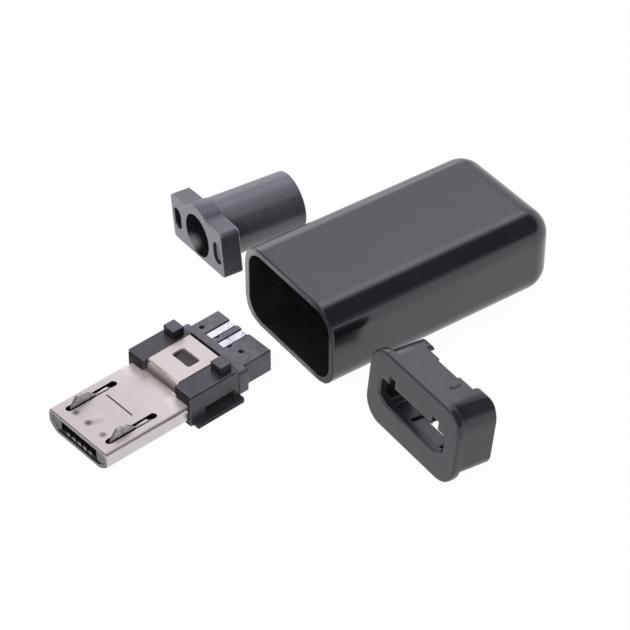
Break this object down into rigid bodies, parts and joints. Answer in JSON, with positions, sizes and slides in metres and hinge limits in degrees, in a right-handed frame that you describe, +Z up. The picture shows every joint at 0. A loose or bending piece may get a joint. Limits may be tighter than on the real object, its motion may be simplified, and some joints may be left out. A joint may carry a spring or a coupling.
{
  "type": "micro usb plug kit",
  "caption": "Solder-type micro-B plug laid out in pieces: metal plug insert with sprung latch hooks, glossy casing, front bezel and flanged strain relief.",
  "frame": {"origin": "centre of the casing's flat base", "axes": "+X along the casing, from its open mouth to its rear wall, which is also the kit's longest extent; +Z up, which is the shortest extent; +Y to the left as seen from the rear wall's outside, towards the strain relief"},
  "size_m": [0.0404, 0.0367, 0.0074],
  "materials": {
    "plated_steel": "bright nickel plate",
    "spring_steel": "satin",
    "tinned_metal": "tin plate on copper alloy",
    "black_plastic": "satin",
    "gloss_black": "polished",
    "grained_black": "fine grain"
  },
  "bodies": {
    "kit": {"casing": "gloss_black", "bezel": "black_plastic", "strain_relief": "grained_black", "plug_shell": "plated_steel", "shoulder_housing": "black_plastic", "contact_carrier": "black_plastic", "contact_1": "tinned_metal", "contact_2": "tinned_metal", "contact_3": "tinned_metal", "contact_4": "tinned_metal", "contact_5": "tinned_metal"},
    "left_hook": {"latch_left": "spring_steel"},
    "right_hook": {"latch_right": "spring_steel"}
  },
  "joints": [
    {"name": "left_hook_press", "type": "hinge", "parent": "kit", "child": "left_hook", "pos_m": [-0.02022, 0.00349, 0.00128], "axis": [0.1115, -0.9938, 0], "range_deg": [0, 5], "stiffness_Nm_per_rad": 0.02},
    {"name": "right_hook_press", "type": "hinge", "parent": "kit", "child": "right_hook", "pos_m": [-0.0197, -0.00118, 0.00128], "axis": [0.1115, -0.9938, 0], "range_deg": [0, 5], "stiffness_Nm_per_rad": 0.02}
  ]
}
